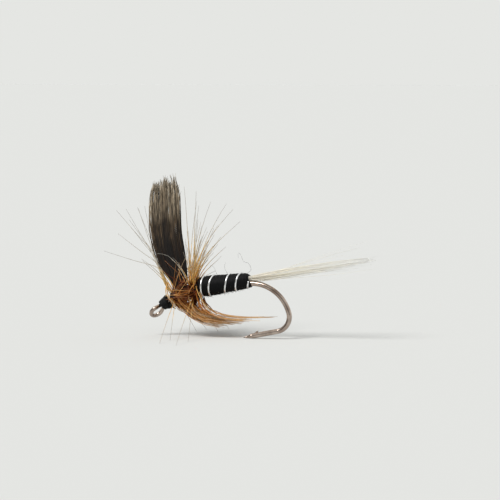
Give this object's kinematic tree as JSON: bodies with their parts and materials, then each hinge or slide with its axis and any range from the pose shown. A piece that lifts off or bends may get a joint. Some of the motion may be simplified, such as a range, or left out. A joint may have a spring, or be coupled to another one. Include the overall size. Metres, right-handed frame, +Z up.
{
  "type": "dry fly",
  "caption": "Winged dry fly tied on a down-eyed hook: ribbed black body, upright quill wing, ginger hackle and cream tail.",
  "frame": {"origin": "middle of the bounding box's foot, on the surface that the fly stands on, in the plane of the hook", "axes": "+Z up as the fly stands on its hook point and hackle, +X towards the tail, +Y to the fly's far side"},
  "size_m": [0.024, 0.017, 0.014],
  "materials": {
    "hook_wire": "gloss",
    "black_thread": "matte",
    "black_floss": "matte",
    "silver_wire": "gloss",
    "tail_fibre": "satin",
    "wing_quill": "satin",
    "hackle_quill": "satin",
    "hackle_barb": "satin"
  },
  "bodies": {
    "root": {"hook": "hook_wire", "thread_underbody": "black_thread", "tail_lashing": "black_thread", "wing_lashing": "black_thread", "wing_brace_wraps": "black_thread", "hackle_lashing": "black_thread", "head_wraps": "black_thread", "whip_finish": "black_thread", "thread_tag": "black_thread", "floss_body": "black_floss", "rib_wire": "silver_wire", "tail_fibre_01": "tail_fibre", "tail_fibre_02": "tail_fibre", "tail_fibre_03": "tail_fibre", "tail_fibre_04": "tail_fibre", "tail_fibre_05": "tail_fibre", "tail_fibre_06": "tail_fibre", "tail_fibre_07": "tail_fibre", "tail_fibre_08": "tail_fibre", "tail_fibre_09": "tail_fibre", "tail_fibre_10": "tail_fibre", "tail_fibre_11": "tail_fibre", "tail_fibre_12": "tail_fibre", "near_wing_slip": "wing_quill", "far_wing_slip": "wing_quill", "rear_hackle_quill": "hackle_quill", "front_hackle_quill": "hackle_quill", "rear_hackle_fan": "hackle_barb", "rear_hackle_skirt": "hackle_barb", "rear_hackle_feet": "hackle_barb", "front_hackle_fan": "hackle_barb", "front_hackle_skirt": "hackle_barb", "front_hackle_feet": "hackle_barb"}
  },
  "joints": []
}
